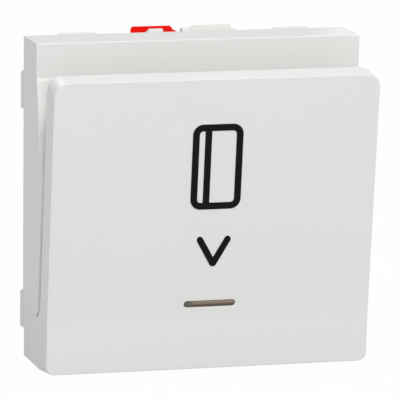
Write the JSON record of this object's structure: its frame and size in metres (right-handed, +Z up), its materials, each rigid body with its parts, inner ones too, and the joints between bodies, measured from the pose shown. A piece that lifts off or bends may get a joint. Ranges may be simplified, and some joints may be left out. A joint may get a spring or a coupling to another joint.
{
  "type": "key card switch",
  "caption": "Flush wall switch that a hotel key card works: a leaning cover and a stepped body form a card slot, with a lamp window, clip-in flange and spring terminals.",
  "frame": {"origin": "centre of the mounting flange on its rear face, which seats in the mounting frame", "axes": "+X to the right as seen from the front, +Y to the rear into the wall, +Z up"},
  "size_m": [0.045, 0.0373, 0.0454],
  "materials": {
    "white_plastic": "glossy moulded plastic",
    "pale_plastic": "fine matt moulded plastic",
    "red_plastic": "glossy moulded plastic",
    "smoked_lens": "smoked clear plastic",
    "clear_plastic": "clear moulded plastic",
    "black_ink": "pad-printed ink",
    "copper": "stamped copper alloy",
    "silver": "silver contact facing",
    "steel": "turned steel",
    "spring_steel": "stainless spring steel",
    "circuit_board": "glass-fibre board",
    "lamp_plastic": "moulded lamp body",
    "resistor_body": "lacquered",
    "brass": "turned brass"
  },
  "bodies": {
    "switch": {"card_cover": "white_plastic", "cover_liner": "white_plastic", "indicator_lens": "smoked_lens", "light_guide": "clear_plastic", "card_symbol": "black_ink", "front_body": "white_plastic", "plunger_spring": "spring_steel", "mounting_flange": "pale_plastic", "rear_housing": "pale_plastic", "rear_cover": "pale_plastic", "mechanism_plate": "pale_plastic", "terminal_line": "copper", "terminal_neutral": "copper", "terminal_open": "copper", "terminal_closed": "copper", "clamp_spring_line": "spring_steel", "clamp_spring_neutral": "spring_steel", "clamp_spring_open": "spring_steel", "clamp_spring_closed": "spring_steel", "pivot_pin": "steel", "fixed_contact_open": "silver", "fixed_contact_closed": "silver", "contact_spring": "spring_steel", "indicator_board": "circuit_board", "indicator_lamp": "lamp_plastic", "lamp_resistor": "resistor_body", "lamp_contact_pins": "brass"},
    "plunger": {"card_plunger": "pale_plastic"},
    "contact_arm": {"contact_arm": "copper", "arm_contact": "silver"},
    "button_line": {"release_button_line": "red_plastic"},
    "button_neutral": {"release_button_neutral": "white_plastic"},
    "button_open": {"release_button_open": "white_plastic"},
    "button_closed": {"release_button_closed": "white_plastic"}
  },
  "joints": [
    {"name": "plunger_slide", "type": "slide", "parent": "switch", "child": "plunger", "axis": [0, 1, 0], "range_m": [0, 0.002], "stiffness_N_per_m": 200, "springref_m": -0.002, "deforming": ["plunger_spring"]},
    {"name": "arm_hinge", "type": "hinge", "parent": "switch", "child": "contact_arm", "pos_m": [0, 0.006, 0.003], "axis": [1, 0, 0], "range_deg": [0, 10.97], "deforming": ["contact_spring"]},
    {"name": "release_line", "type": "slide", "parent": "switch", "child": "button_line", "axis": [0, 0, -1], "range_m": [0, 0.0018], "stiffness_N_per_m": 500, "springref_m": -0.002, "deforming": ["clamp_spring_line"]},
    {"name": "release_neutral", "type": "slide", "parent": "switch", "child": "button_neutral", "axis": [0, 0, -1], "range_m": [0, 0.0018], "stiffness_N_per_m": 500, "springref_m": -0.002, "deforming": ["clamp_spring_neutral"]},
    {"name": "release_open", "type": "slide", "parent": "switch", "child": "button_open", "axis": [0, 0, 1], "range_m": [0, 0.0018], "stiffness_N_per_m": 500, "springref_m": -0.002, "deforming": ["clamp_spring_open"]},
    {"name": "release_closed", "type": "slide", "parent": "switch", "child": "button_closed", "axis": [0, 0, 1], "range_m": [0, 0.0018], "stiffness_N_per_m": 500, "springref_m": -0.002, "deforming": ["clamp_spring_closed"]}
  ],
  "couplings": [
    {"joint": "arm_hinge", "follows": "plunger_slide", "rad_per_m": 95.644}
  ]
}
